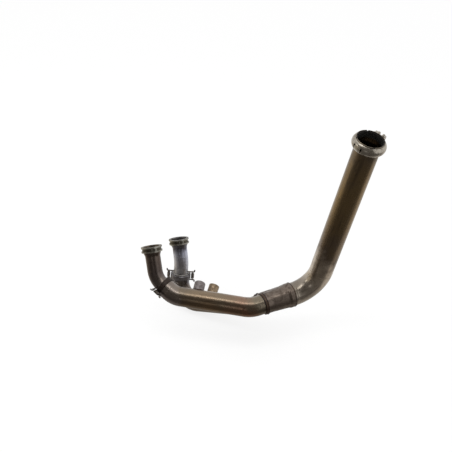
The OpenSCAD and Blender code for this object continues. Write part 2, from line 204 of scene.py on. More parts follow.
def spokes(at, a):
    """Directions square to a frame's z, one for each angle."""
    return [at[1] * math.cos(t) + at[2] * math.sin(t) for t in a]


def place(origin, axis, side):
    """A frame with z along axis and x towards side: (origin, x, y, z)."""
    z = unit(axis)
    x = across(side, axis)
    return origin, x, np.cross(z, x), z


def put(at, points):
    """Points given in a frame, in the model's own frame."""
    origin, x, y, z = at
    p = np.asarray(points, float)
    return origin + p[..., 0:1] * x + p[..., 1:2] * y + p[..., 2:3] * z


def skin(name, rings, closed=True, tube=None, inner=(), sharp=SHARP):
    """A mesh through rings of equal size. Rows named in inner take the second material."""
    rings = np.asarray(rings)
    rows, n = rings.shape[:2]
    faces, slots = [], []
    for i in range(rows if closed else rows - 1):
        j = (i + 1) % rows
        for k in range(n):
            m = (k + 1) % n
            faces.append((i * n + k, i * n + m, j * n + m, j * n + k))
            slots.append(1 if i in inner else 0)
    mesh = bpy.data.meshes.new(name)
    mesh.from_pydata(rings.reshape(-1, 3).tolist(), [], faces)
    if tube is not None:
        layer = mesh.attributes.new("tube", "FLOAT_VECTOR", "POINT")
        layer.data.foreach_set("vector", np.asarray(tube, float).reshape(-1))
    mesh.polygons.foreach_set("material_index", slots)
    mesh.polygons.foreach_set("use_smooth", [True] * len(faces))
    mesh.validate()
    mesh.update()
    mesh.set_sharp_from_angle(angle=math.radians(sharp))
    return add(name, mesh)


def route(corners, bend):
    """Stations of a bent centreline, with a frame at each that doesn't twist."""
    step, turn_step = 3 * MM, 3
    corners = [np.asarray(c, float) for c in corners]
    dirs = [unit(b - a) for a, b in zip(corners, corners[1:])]
    places, tangents, seams = [], [], []

    def straight(start, end, direction):
        count = max(2, int(np.linalg.norm(end - start) / step))
        for t in np.linspace(0, 1, count, endpoint=False):
            places.append(start + (end - start) * t)
            tangents.append(direction)

    start = corners[0]
    for i in range(1, len(corners) - 1):
        turn = math.acos(np.clip(np.dot(dirs[i - 1], dirs[i]), -1, 1))
        back = bend * math.tan(turn / 2)
        inward = across(dirs[i], dirs[i - 1])
        entry = corners[i] - dirs[i - 1] * back
        centre = entry + inward * bend
        straight(start, entry, dirs[i - 1])
        seams.append(len(places))
        count = max(4, int(math.degrees(turn) / turn_step))
        for a in np.linspace(0, turn, count, endpoint=False):
            places.append(centre - inward * bend * math.cos(a) + dirs[i - 1] * bend * math.sin(a))
            tangents.append(dirs[i - 1] * math.cos(a) + inward * math.sin(a))
        seams.append(len(places))
        start = corners[i] + dirs[i] * back
    straight(start, corners[-1], dirs[-1])
    places.append(corners[-1])
    tangents.append(dirs[-1])
    places, tangents = np.array(places), np.array(tangents)
    s = np.concatenate([[0], np.cumsum(np.linalg.norm(np.diff(places, axis=0), axis=1))])
    normals = [across(UP_SIDE if abs(np.dot(UP_SIDE, tangents[0])) < 0.9 else RIGHT_SIDE, tangents[0])]
    for t in tangents[1:]:
        normals.append(across(normals[-1], t))
    return {"s": s, "place": places, "dir": tangents, "normal": np.array(normals), "seams": s[seams]}


def station(path, s):
    """Place, direction and normal of a route at the length s."""
    def column(key):
        return np.array([np.interp(s, path["s"], path[key][:, i]) for i in range(3)])

    direction = unit(column("dir"))
    return column("place"), direction, across(column("normal"), direction)


def ring_at(path, s, r):
    """One ring of a tube, and the same points on the tube pulled straight."""
    centre, direction, normal = station(path, s)
    side = np.cross(direction, normal)
    a = whole_turn(AROUND)
    points = centre + np.outer(r * np.cos(a), normal) + np.outer(r * np.sin(a), side)
    flat = np.stack([np.full(AROUND, s), r * np.cos(a), r * np.sin(a)], axis=1)
    return points, flat


def pipe(name, path, radius):
    """A tube along a route. radius gives its outer radius at a length; the bore is sooty."""
    fillet, step = 0.4 * MM, 2.5 * MM
    seam_h, seam_w = 0.12 * MM, 0.6 * MM
    end = path["s"][-1]
    stations = list(np.arange(fillet, end - fillet, step)) + [end - fillet]
    for seam in path["seams"]:
        stations = [s for s in stations if abs(s - seam) > 1.5 * seam_w]
        stations += [seam - seam_w, seam - seam_w / 2, seam + seam_w / 2, seam + seam_w]
    stations.sort()

    def outer(s):
        crown = any(abs(s - seam) < 0.6 * seam_w for seam in path["seams"])
        return radius(s) + (seam_h if crown else 0)

    rows = [(0, radius(0) - fillet)] + [(s, outer(s)) for s in stations]
    rows.append((end, radius(end) - fillet))
    first_inner = len(rows)
    rows.append((end, radius(end) - WALL + fillet / 2))
    rows += [(s, radius(s) - WALL) for s in reversed(stations[::2])]
    rows.append((0, radius(0) - WALL + fillet / 2))
    made = [ring_at(path, s, r) for s, r in rows]
    points, flat = zip(*made)
    return skin(name, points, tube=flat, inner=range(first_inner, len(rows)))


def sweep(name, points, radius, closed=False, segments=14, outward=None, ripple=0.0, ripples=0):
    """A round wire or a weld bead along points; a bead's ripples swell and sink along it."""
    points = np.asarray(points, float)
    n = len(points)
    if closed:
        tangents = np.roll(points, -1, axis=0) - np.roll(points, 1, axis=0)
    else:
        tangents = np.gradient(points, axis=0)
    normal = outward[0] if outward is not None else np.array([0.3, 0.5, 0.81])
    rings, flat, along = [], [], 0.0
    a = whole_turn(segments)
    for i in range(n):
        t = unit(tangents[i])
        normal = across(outward[i] if outward is not None else normal, t)
        side = np.cross(t, normal)
        r = radius * (1 + ripple * abs(math.sin(math.pi * ripples * i / n)))
        rings.append(points[i] + np.outer(r * np.cos(a), normal) + np.outer(r * np.sin(a), side))
        flat.append(np.stack([np.full(segments, along), r * np.cos(a), r * np.sin(a)], axis=1))
        along += np.linalg.norm(points[(i + 1) % n] - points[i])
    if not closed:
        for end, t in ((0, -1), (-1, 1)):
            tip = np.repeat([np.asarray(rings[end]).mean(axis=0)], segments, axis=0)
            rings.insert(0 if end == 0 else len(rings), tip)
            flat.insert(0 if end == 0 else len(flat), flat[end])
    return skin(name, rings, closed=closed, tube=flat, sharp=60)


def unroll(mesh, path):
    """Writes each point's place on the tube pulled straight, which a Boolean cut loses."""
    points = np.zeros(3 * len(mesh.vertices))
    mesh.vertices.foreach_get("co", points)
    points = points.reshape(-1, 3)
    gaps = ((points[:, None, :] - path["place"][None, :, :]) ** 2).sum(axis=2)
    near = gaps.argmin(axis=1)
    off = points - path["place"][near]
    normal, direction = path["normal"][near], path["dir"][near]
    along = (off * direction).sum(axis=1)
    flat = np.stack([path["s"][near] + along, (off * normal).sum(axis=1),
                     (off * np.cross(direction, normal)).sum(axis=1)], axis=1)
    mesh.attributes["tube"].data.foreach_set("vector", flat.reshape(-1))


def cut(piece, cutters, path):
    """Takes the cutters' solids out of a tube, for good."""
    for cutter in cutters:
        bore = piece.modifiers.new("cut", "BOOLEAN")
        bore.operation = "DIFFERENCE"
        bore.solver = "EXACT"
        bore.object = cutter
    graph = bpy.context.evaluated_depsgraph_get()
    mesh = bpy.data.meshes.new_from_object(piece.evaluated_get(graph), preserve_all_data_layers=True,
                                           depsgraph=graph)
    piece.modifiers.clear()
    piece.data = mesh
    for cutter in cutters:
        bpy.data.objects.remove(cutter)
    mesh.set_sharp_from_angle(angle=math.radians(SHARP))
    unroll(mesh, path)


def solid_block(at, low, high):
    """A cutter between two corners given in a frame."""
    corners = [(x, y, z) for z in (low[2], high[2]) for x, y in
               ((low[0], low[1]), (high[0], low[1]), (high[0], high[1]), (low[0], high[1]))]
    faces = [(3, 2, 1, 0), (4, 5, 6, 7), (0, 1, 5, 4), (1, 2, 6, 5), (2, 3, 7, 6), (3, 0, 4, 7)]
    mesh = bpy.data.meshes.new("cutter")
    mesh.from_pydata(put(at, corners).tolist(), [], faces)
    return add("cutter", mesh)


def solid_rod(at, r, low, high):
    """A cutter along a frame's z."""
    profile = ((TINY, low), (r, low), (r, high), (TINY, high))
    return skin("cutter", [put(at, circle(x, z)) for x, z in profile])


# Materials

class Shader:
    """A Principled material whose nodes are added one after another."""

    def __init__(self, name, metallic=1.0):
        self.material = bpy.data.materials.new(name)
        self.material.use_nodes = True
        self.tree = self.material.node_tree
        self.surface = self.tree.nodes["Principled BSDF"]
        self.surface.inputs["Metallic"].default_value = metallic

    def node(self, kind, **values):
        made = self.tree.nodes.new(kind)
        for key, value in values.items():
            setattr(made, key, value)
        return made

    def link(self, source, target):
        self.tree.links.new(source, target)

    def feed(self, node, name, value):
        """Sets an input to a number or a colour, or links a socket to it."""
        if isinstance(value, bpy.types.NodeSocket):
            self.link(value, node.inputs[name])
        else:
            node.inputs[name].default_value = value

    def tube(self, scale=(1, 1, 1)):
        """Coordinates on the tube pulled straight, in metres times scale."""
        source = self.node("ShaderNodeAttribute", attribute_name="tube").outputs["Vector"]
        return self.scaled(source, scale)

    def object(self, scale=(1, 1, 1)):
        source = self.node("ShaderNodeTexCoord").outputs["Object"]
        return self.scaled(source, scale)

    def scaled(self, source, scale):
        mapping = self.node("ShaderNodeMapping")
        mapping.inputs["Scale"].default_value = scale
        self.link(source, mapping.inputs["Vector"])
        return mapping.outputs["Vector"]

    def noise(self, vector, scale, detail=4, rough=0.55, distortion=0.0):
        made = self.node("ShaderNodeTexNoise")
        self.link(vector, made.inputs["Vector"])
        made.inputs["Scale"].default_value = scale
        made.inputs["Detail"].default_value = detail
        made.inputs["Roughness"].default_value = rough
        made.inputs["Distortion"].default_value = distortion
        return made.outputs["Fac"]

    def remap(self, value, low, high, to_low=0.0, to_high=1.0, smooth=True):
        made = self.node("ShaderNodeMapRange")
        made.interpolation_type = "SMOOTHSTEP" if smooth else "LINEAR"
        self.link(value, made.inputs["Value"])
        made.inputs["From Min"].default_value = low
        made.inputs["From Max"].default_value = high
        made.inputs["To Min"].default_value = to_low
        made.inputs["To Max"].default_value = to_high
        return made.outputs["Result"]

    def math(self, operation, a, b):
        made = self.node("ShaderNodeMath", operation=operation)
        for i, value in enumerate((a, b)):
            if isinstance(value, bpy.types.NodeSocket):
                self.link(value, made.inputs[i])
            else:
                made.inputs[i].default_value = value
        return made.outputs["Value"]

    def mix(self, factor, a, b):
        made = self.node("ShaderNodeMix", data_type="RGBA")
        for i, value in ((0, factor), (6, a), (7, b)):
            if isinstance(value, bpy.types.NodeSocket):
                self.link(value, made.inputs[i])
            else:
                made.inputs[i].default_value = value if i == 0 else (*value, 1)
        return made.outputs[2]

    def cover(self, colour, over, value, low, high, amount):
        """Colour with another over it where value rises from low to high."""
        return self.mix(self.remap(value, low, high, 0, amount), colour, over)

    def blend(self, a, b, weight):
        """The sum of weight times a and the rest times b."""
        return self.math("ADD", self.math("MULTIPLY", a, weight), self.math("MULTIPLY", b, 1 - weight))

    def ramp(self, value, stops):
        made = self.node("ShaderNodeValToRGB")
        elements = made.color_ramp.elements
        elements[0].position, elements[0].color = stops[0][0], (*stops[0][1], 1)
        elements[1].position, elements[1].color = stops[-1][0], (*stops[-1][1], 1)
        for position, colour in stops[1:-1]:
            elements.new(position).color = (*colour, 1)
        self.link(value, made.inputs["Fac"])
        return made.outputs["Color"]

    def side(self, direction):
        """How far the surface faces a direction of the model, from -1 to 1."""
        normal = self.node("ShaderNodeNewGeometry").outputs["Normal"]
        dot = self.node("ShaderNodeVectorMath", operation="DOT_PRODUCT")
        self.link(normal, dot.inputs[0])
        dot.inputs[1].default_value = unit(direction)
        return dot.outputs["Value"]

    def radius(self, origin, axis):
        """Distance of the surface from an axis, in metres."""
        source = self.node("ShaderNodeTexCoord").outputs["Object"]
        off = self.node("ShaderNodeVectorMath", operation="SUBTRACT")
        self.link(source, off.inputs[0])
        off.inputs[1].default_value = origin
        turned = self.node("ShaderNodeVectorMath", operation="CROSS_PRODUCT")
        self.link(off.outputs["Vector"], turned.inputs[0])
        turned.inputs[1].default_value = unit(axis)
        length = self.node("ShaderNodeVectorMath", operation="LENGTH")
        self.link(turned.outputs["Vector"], length.inputs[0])
        return length.outputs["Value"]

    def bump(self, height, depth, strength=1.0):
        made = self.node("ShaderNodeBump")
        made.inputs["Strength"].default_value = strength
        made.inputs["Distance"].default_value = depth
        self.link(height, made.inputs["Height"])
        self.link(made.outputs["Normal"], self.surface.inputs["Normal"])

    def finish(self, colour, roughness):
        self.feed(self.surface, "Base Color", colour)
        self.feed(self.surface, "Roughness", roughness)
        return self.material


def heated_tube(name, length, stops, top, under, shine):
    """Heat-tinted tube steel: stops colour it along its length; top is a painted sheen on its upper side
    and under a painted reflection and shade on its underside.
    """
    stain, bare = (0.035, 0.025, 0.018), (0.42, 0.36, 0.27)
    m = Shader(name)
    along = m.node("ShaderNodeSeparateXYZ")
    m.link(m.tube(), along.inputs[0])
    reached = m.remap(along.outputs[0], 0, length, smooth=False)
    clouds = m.noise(m.object(), 22, detail=3)
    drift = m.math("ADD", reached, m.remap(clouds, 0.3, 0.7, -0.07, 0.07))
    colour = m.ramp(drift, stops)
    # Painted light: the upper side takes the painted sheen top, the underside the painted reflection and
    # shade under.
    painted_light_facing = m.math("ADD", m.side((0, -0.2, 1)), m.remap(clouds, 0.3, 0.7, -0.18, 0.18))
    colour = m.cover(colour, top, painted_light_facing, 0.25, 0.95, 0.4)
    colour = m.cover(colour, under, painted_light_facing, -0.35, -0.95, 0.7)
    streaks = m.noise(m.tube((9, 150, 150)), 1, detail=5, rough=0.6)
    colour = m.cover(colour, stain, streaks, 0.5, 0.72, 0.4)
    patches = m.noise(m.object(), 75, detail=6, rough=0.65, distortion=0.6)
    colour = m.cover(colour, stain, patches, 0.56, 0.74, 0.5)
    smears = m.noise(m.tube((4, 95, 95)), 1, detail=6, rough=0.7, distortion=0.3)
    colour = m.cover(colour, bare, smears, 0.6, 0.74, 0.45)
    specks = m.noise(m.object(), 900, detail=2)
    colour = m.cover(colour, (0.42, 0.37, 0.3), specks, 0.66, 0.76, 0.5)
    grain = m.blend(streaks, patches, 0.5)
    m.bump(grain, 0.00012, 0.08)
    return m.finish(colour, m.remap(grain, 0.35, 0.65, shine + 0.01, shine + 0.11))


def soot():
    """Dry black and brown carbon in the bores."""
    m = Shader("soot", metallic=0.0)
    clouds = m.noise(m.object(), 60, detail=6, rough=0.7)
    crumbs = m.noise(m.object(), 700, detail=3)
    colour = m.ramp(clouds, [(0.3, (0.004, 0.004, 0.004)), (0.62, (0.009, 0.008, 0.007)),
                             (0.85, (0.022, 0.016, 0.011))])
    m.bump(crumbs, 0.0002, 0.6)
    m.surface.inputs["Specular IOR Level"].default_value = 0.2
    return m.finish(colour, m.remap(clouds, 0.3, 0.8, 0.8, 0.97))


def turned_steel(name, light, dark, shine, amount=0.75):
    """Machined steel with stains in random patches and fine tool marks."""
    m = Shader(name)
    clouds = m.noise(m.object(), 120, detail=6, rough=0.65, distortion=0.4)
    marks = m.noise(m.object((700, 700, 2600)), 1, detail=3)
    colour = m.cover(light, dark, clouds, 0.42, 0.68, amount)
    pits = m.noise(m.object(), 1500, detail=2)
    colour = m.cover(colour, dark, pits, 0.62, 0.74, 0.6)
    m.bump(m.blend(marks, clouds, 0.4), 0.0001, 0.5)
    return m.finish(colour, m.remap(clouds, 0.3, 0.75, shine - 0.05, shine + 0.22))


def collar_steel(name, port, axis):
    """Turned steel, its groove between the lips darkened by grime and painted shade."""
    groove_end, lip_start, ragged = 21.7 * MM, 22.9 * MM, 0.4 * MM
    m = Shader(name)
    clouds = m.noise(m.object(), 140, detail=6, rough=0.65, distortion=0.4)
    marks = m.noise(m.object((900, 900, 2600)), 1, detail=3)
    colour = m.cover((0.34, 0.33, 0.29), (0.14, 0.125, 0.1), clouds, 0.4, 0.66, 0.7)
    edge = m.math("ADD", m.radius(port, axis), m.remap(clouds, 0.3, 0.7, -ragged, ragged))
    # Painted shade with grime: dark where the surface lies closer to the axis than the lips, in the
    # groove.
    colour = m.cover((0.085, 0.075, 0.058), colour, edge, groove_end, lip_start, 1)
    m.bump(m.blend(marks, clouds, 0.4), 0.0001, 0.5)
    return m.finish(colour, m.remap(clouds, 0.3, 0.75, 0.27, 0.5))


def burnt_steel(name, base, rust, shine=0.5):
    """Dark scaled steel of the slip rings, hooks and springs, with a little brown rust."""
    m = Shader(name)
    clouds = m.noise(m.object(), 260, detail=6, rough=0.7)
    crumbs = m.noise(m.object(), 2200, detail=3)
    colour = m.cover(base, rust, clouds, 0.48, 0.7, 0.8)
    colour = m.cover(colour, (0.16, 0.13, 0.11), crumbs, 0.62, 0.72, 0.5)
    m.bump(m.blend(crumbs, clouds, 0.5), 0.00015, 0.7)
    return m.finish(colour, m.remap(clouds, 0.3, 0.75, shine - 0.1, shine + 0.2))


def weld_metal():
    """Weld beads with straw, brown and blue heat colours."""
    m = Shader("weld")
    bands = m.noise(m.object(), 90, detail=4)
    scale = m.noise(m.object(), 1300, detail=3)
    colour = m.ramp(bands, [(0.3, (0.035, 0.024, 0.02)), (0.45, (0.09, 0.055, 0.038)),
                            (0.55, (0.05, 0.043, 0.05)), (0.7, (0.11, 0.08, 0.055))])
    m.bump(scale, 0.0001, 0.5)
    return m.finish(colour, m.remap(scale, 0.3, 0.7, 0.32, 0.55))


def knit_seal():
    """Pressed wire mesh with graphite in it."""
    m = Shader("knit_seal", metallic=0.5)
    weave = m.node("ShaderNodeTexVoronoi", feature="DISTANCE_TO_EDGE")
    m.link(m.object(), weave.inputs["Vector"])
    weave.inputs["Scale"].default_value = 900
    wires = m.remap(weave.outputs["Distance"], 0.02, 0.16)
    colour = m.mix(wires, (0.05, 0.045, 0.04), (0.012, 0.012, 0.012))
    m.bump(wires, 0.0002, 0.6)
    return m.finish(colour, m.remap(wires, 0, 1, 0.5, 0.85))


# Colours along the pipes, each with its share of the length
BRONZE = [
    (0.0, (0.19, 0.16, 0.155)), (0.13, (0.2, 0.165, 0.15)), (0.22, (0.15, 0.11, 0.075)),
    (0.38, (0.22, 0.145, 0.085)), (0.6, (0.19, 0.13, 0.08)), (0.78, (0.25, 0.125, 0.08)),
    (0.9, (0.17, 0.14, 0.1)), (1.0, (0.09, 0.07, 0.055))
]
REAR_BRONZE = [
    (0.0, (0.12, 0.11, 0.12)), (0.25, (0.17, 0.125, 0.09)), (0.6, (0.2, 0.14, 0.085)),
    (1.0, (0.1, 0.08, 0.06))
]
BROWN_PRIMARY = [
    (0.0, (0.16, 0.13, 0.1)), (0.18, (0.1, 0.075, 0.062)), (0.5, (0.1, 0.08, 0.075)),
    (0.8, (0.12, 0.1, 0.095)), (1.0, (0.09, 0.07, 0.06))
]
# Blue-grey heat tint; its pale stops from 0.33 on are partly tint and partly a painted highlight.
BLUE_PRIMARY = [
    (0.0, (0.15, 0.135, 0.12)), (0.2, (0.1, 0.095, 0.115)), (0.33, (0.44, 0.46, 0.56)),
    (0.6, (0.44, 0.44, 0.48)), (0.85, (0.4, 0.39, 0.4)), (1.0, (0.36, 0.35, 0.34))
]
# The pale stops at 0.12 and 0.24 lighten the elbow: partly tint and partly a painted highlight.
RISER = [
    (0.0, (0.2, 0.17, 0.145)), (0.12, (0.5, 0.44, 0.37)), (0.24, (0.48, 0.41, 0.33)),
    (0.36, (0.16, 0.12, 0.085)), (0.5, (0.2, 0.14, 0.075)), (0.75, (0.23, 0.16, 0.08)),
    (0.93, (0.19, 0.14, 0.09)), (1.0, (0.12, 0.1, 0.08))
]
# Painted light of the big pipes: a sheen for their tops and a floor reflection for their undersides.
PAINTED_TOP_SHEEN = (0.25, 0.215, 0.165)
PAINTED_UNDERSIDE_REFLECTION = (0.2, 0.195, 0.165)
TUBE_SHINE = 0.24

SOOT = soot()
WELD = weld_metal()
CLAMP = turned_steel("clamp_steel", (0.4, 0.365, 0.31), (0.16, 0.13, 0.1), shine=0.24, amount=0.6)
FASTENER = turned_steel("fastener_steel", (0.5, 0.47, 0.43), (0.2, 0.17, 0.14), shine=0.32, amount=0.6)
BOSS_GREY = turned_steel("boss_grey_steel", (0.24, 0.215, 0.21), (0.12, 0.1, 0.095), shine=0.4)
BOSS_TAN = turned_steel("boss_tan_steel", (0.3, 0.225, 0.15), (0.15, 0.11, 0.075), shine=0.4)
DARK = burnt_steel("scaled_steel", (0.045, 0.036, 0.032), (0.075, 0.045, 0.03))
SPRING = burnt_steel("spring_steel", (0.19, 0.17, 0.155), (0.13, 0.09, 0.06), shine=0.42)
RING = burnt_steel("ring_steel", (0.085, 0.06, 0.045), (0.12, 0.075, 0.045), shine=0.42)
RING_GREY = turned_steel("ring_grey_steel", (0.2, 0.19, 0.2), (0.075, 0.065, 0.06), shine=0.45)
RIM = turned_steel("rim_steel", (0.42, 0.41, 0.39), (0.2, 0.17, 0.15), shine=0.3, amount=0.5)
COLLECTOR = turned_steel("collector_steel", (0.18, 0.145, 0.12), (0.085, 0.065, 0.052), shine=0.34)
SEAL = knit_seal()


def dress(piece, slot, *materials):
    """Gives a new piece its materials and its body; its slot is not used."""
    piece.data.materials.clear()
    for material in materials:
        piece.data.materials.append(material)
    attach(piece, "root")
    return piece


def paint(node, material):
    """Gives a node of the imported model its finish."""
    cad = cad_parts[node]
    cad.data.materials.clear()
    cad.data.materials.append(material)


# Tubes

def primary_radius(s):
    """Outer radius of a short pipe at a length from its port."""
    return MOUTH_R + (PRIMARY_R - MOUTH_R) * ease(share(s, MOUTH_LEN, MOUTH_CONE))


def primary(name, port, corner, joint, bend, stops, top, under, slot, shine):
    """A short pipe with a flared mouth, down into the wider pipe below it."""
    path = route([port, corner, joint + unit(joint - corner) * SPIGOT_LEN], bend)
    piece = pipe(name + "_tube", path, primary_radius)
    finish = heated_tube(name + "_finish", path["s"][-1], stops, top, under, shine)
    dress(piece, slot, finish, SOOT)
    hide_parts(name)


def sensor_frame(corner, run, at):
    """The frame of a sensor boss at a length along a pipe's straight run."""
    foot = corner + run * at
    return place(foot, across(SENSOR_SIDE, run), run)


def down_pipe(name, corners, bend, boss_at, stops):
    """A front or rear pipe, with the hole under its sensor boss."""
    path = route(corners, bend)
    piece = pipe(name + "_tube", path, lambda s: DOWN_R)
    cut(piece, [solid_rod(boss_at, BOSS_BORE_R, 0, 2 * DOWN_R)], path)
    finish = heated_tube(name + "_finish", path["s"][-1], stops, PAINTED_TOP_SHEEN, PAINTED_UNDERSIDE_REFLECTION, TUBE_SHINE)
    dress(piece, "down_pipe", finish, SOOT)
    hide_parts(name)


def outlet_tube():
    """The elbow and the riser, with the slotted socket at the mouth."""
    near_end = MERGE + DIR_OUT * (NECK_LEN - NECK_DEPTH)
    path = route([near_end, ELBOW_CORNER, OUTLET_MOUTH], ELBOW_BEND)
    end = path["s"][-1]

    def radius(s):
        cone = ease(share(s, end - SOCKET_LEN - SOCKET_CONE, SOCKET_CONE))
        return OUTLET_R + (SOCKET_R - OUTLET_R) * cone

    piece = pipe("outlet_tube", path, radius)
    origin, x, y, z = place(OUTLET_MOUTH, AXIS_OUTLET, BOLT_SIDE)
    slot_low = (SOCKET_R / 2, -SLOT_W / 2, -SLOT_LEN)
    slot_high = (2 * SOCKET_R, SLOT_W / 2, 2 * MM)
    slots = []
    for i in range(SLOT_COUNT):
        a = (i + 0.5) * 2 * math.pi / SLOT_COUNT
        turned = (origin, x * math.cos(a) + y * math.sin(a), y * math.cos(a) - x * math.sin(a), z)
        slots.append(solid_block(turned, slot_low, slot_high))
    cut(piece, slots, path)
    finish = heated_tube("outlet_finish", end, RISER, PAINTED_TOP_SHEEN, PAINTED_UNDERSIDE_REFLECTION, TUBE_SHINE)
    dress(piece, "outlet_pipe", finish, SOOT)
    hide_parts("outlet_pipe")


# Sensor bosses

def boss(name, at, height, material, slot):
    """A turned bush on a saddle, with a thread in its bore."""
    reach = DOWN_R + height
    bevel, lead_in = 1 * MM, 0.8 * MM
    thread, thread_steps = 0.75 * MM, 8
    a = whole_turn(AROUND)

    def saddle(r):
        return np.sqrt(np.maximum((DOWN_R + 0.05 * MM) ** 2 - (r * np.sin(a)) ** 2, 0))

    def ring(r, z):
        return put(at, circle(r, z))

    rings = [ring(BOSS_R, saddle(BOSS_R)), ring(BOSS_R, reach - 2 * bevel)]
    rings += [ring(BOSS_R - bevel * (1 - math.cos(t)), reach - bevel * (1 - math.sin(t)))
              for t in np.linspace(0, math.pi / 2, 6)]
    bore_top = reach - lead_in
    rings.append(ring(BOSS_BORE_R + 0.9 * MM, reach))
    first_bore = len(rings)
    start = float(saddle(BOSS_BORE_R).max())
    count = int((bore_top - start) / BOSS_PITCH * thread_steps)
    for z in np.linspace(bore_top, start, count):
        turn = (z / BOSS_PITCH - a / (2 * math.pi)) % 1
        crest = np.abs(turn - 0.5) * 2
        rings.append(ring(BOSS_BORE_R + thread * crest, z))
    rings.append(ring(BOSS_BORE_R, saddle(BOSS_BORE_R)))
    flat = [np.zeros((AROUND, 3))] * len(rings)
    piece = skin(name + "_bush", rings, tube=flat, inner=range(first_bore, len(rings) - 1), sharp=40)
    dress(piece, slot, material, DARK)
    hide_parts(name)
    foot_r = BOSS_R + 0.5 * MM
    foot = ring(foot_r, saddle(foot_r) + 0.3 * MM)
    bead = sweep(name + "_weld", foot, BEAD, closed=True, segments=10, outward=spokes(at, a), ripple=0.22,
                 ripples=34)
    dress(bead, "weld_ring", WELD)


# Springs

def joint_spring(node, joint, direction, side, turned):
    """One close-wound wire with a round eye at each end."""
    origin, x, y, z = place(joint, direction, side)
    x, y = x * turned, y * turned
    at = (origin + x * SPRING_REACH - z * SLIP_RING_W / 2, x, y, z)
    body = SPRING_PITCH * (SPRING_TURNS - 1) / 2
    turns = SPRING_TURNS - 1.25
    a = np.linspace(-turns * math.pi, turns * math.pi, 300)
    coil = circle(SPRING_R, a / (turns * math.pi) * (body - 0.6 * MM), a)

    def eye(up):
        """From the coil's end round the eye, in the plane square to x."""
        b = np.linspace(-0.3 * math.pi, 1.45 * math.pi, 60)
        rise = up * (SPRING_EYE + SPRING_R * np.sin(b))
        return np.stack([0 * b, SPRING_R * np.cos(b), rise], axis=1)

    def towards(loop, end):
        """The loop, mirrored in y where that brings its start nearer to the coil's end."""
        mirrored = loop * [1, -1, 1]
        near = np.linalg.norm(loop[0] - end) < np.linalg.norm(mirrored[0] - end)
        return loop if near else mirrored

    def bridge(p, q):
        t = np.linspace(0, 1, 12)[1:-1, None]
        return p + (q - p) * ease(t)

    high, low = towards(eye(1), coil[-1]), towards(eye(-1), coil[0])
    line = np.concatenate([low[::-1], bridge(low[0], coil[0]), coil, bridge(coil[-1], high[0]), high])
    piece = sweep(node + "_wire", put(at, relax(line, 3)), SPRING_WIRE * 0.47, segments=12)
    dress(piece, "spring_steel", SPRING)
    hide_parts(node)


# Welds

def ring_weld(name, centre, direction, r, ripples=60, material=WELD, slot="weld_ring"):
    """A rippled bead round a pipe."""
    a = whole_turn(6 * ripples)
    at = place(centre, direction, UP_SIDE)
    bead = sweep(name, put(at, circle(r, 0, a)), BEAD, closed=True, segments=10, outward=spokes(at, a),
                 ripple=0.25, ripples=ripples)
    dress(bead, slot, material)


def lobe_radius(s):
    """Outer radius of the collector's front lobe at a length from its inlet."""
    cone_end = LOBE_LEN + NECK_LEN - NECK_DEPTH - 6 * MM
    top = OUTLET_R - WALL + LOBE_WALL
    return LOBE_R + (top - LOBE_R) * share(s, LOBE_DEPTH, cone_end - LOBE_DEPTH)


def rear_radius(s):
    """Outer radius of its rear lobe at a length from the rear inlet."""
    length = REAR_LEN + NECK_LEN
    return LOBE_R - REAR_TAPER * share(s, LOBE_DEPTH, length - LOBE_DEPTH)


def valley():
    """Where the collector's two lobes meet, found along lines of the rear lobe."""
    at = place(REAR_INLET, DIR_REAR, UP_SIDE)
    found = []
    for a in whole_turn(240):
        for s in np.linspace(0, REAR_LEN, 200):
            r = rear_radius(s)
            p = put(at, [[r * math.cos(a), r * math.sin(a), s]])[0]
            along = float(np.dot(p - FRONT_INLET, DIR_OUT))
            off = np.linalg.norm(p - FRONT_INLET - DIR_OUT * along)
            if off < lobe_radius(along):
                found.append((a, s, p))
                break
    return [(a, p) for a, s, p in found if 3 * MM < s < REAR_LEN - 3 * MM]


def valley_weld():
    """A bead along the valley, from one end of its open curve to the other."""
    angles, points = zip(*valley())
    gaps = (np.roll(angles, -1) - np.array(angles)) % (2 * math.pi)
    start = int(np.argmax(gaps)) + 1
    line = relax(np.array(points[start:] + points[:start]), 6)
    steps = np.concatenate([[0], np.cumsum(np.linalg.norm(np.diff(line, axis=0), axis=1))])
    count = int(steps[-1] / (0.5 * MM))
    lengths = np.linspace(0, steps[-1], count)
    even = np.stack([np.interp(lengths, steps, line[:, i]) for i in range(3)], axis=1)
    bead = sweep("collector_valley_weld", even, 1.3 * MM, segments=10, ripple=0.2, ripples=count // 6)
    dress(bead, "weld_ring", WELD)


# Clamp hardware

def hex_rings(at, flats, z_face, z_back):
    """Rings of a hexagon with a turned chamfer on its face, from the back's middle to the face's."""
    chamfer, face_r = math.radians(28), flats * 0.96
    a = whole_turn(AROUND)
    corner = flats / np.cos((a + math.pi / 6) % (math.pi / 3) - math.pi / 6)
    sign = 1 if z_face > z_back else -1
    profile = ((corner * 1e-3, z_back), (corner, z_back),
               (corner, z_face - sign * (corner - face_r) * math.tan(chamfer)), (face_r, z_face))
    return [put(at, circle(r, z)) for r, z in profile]


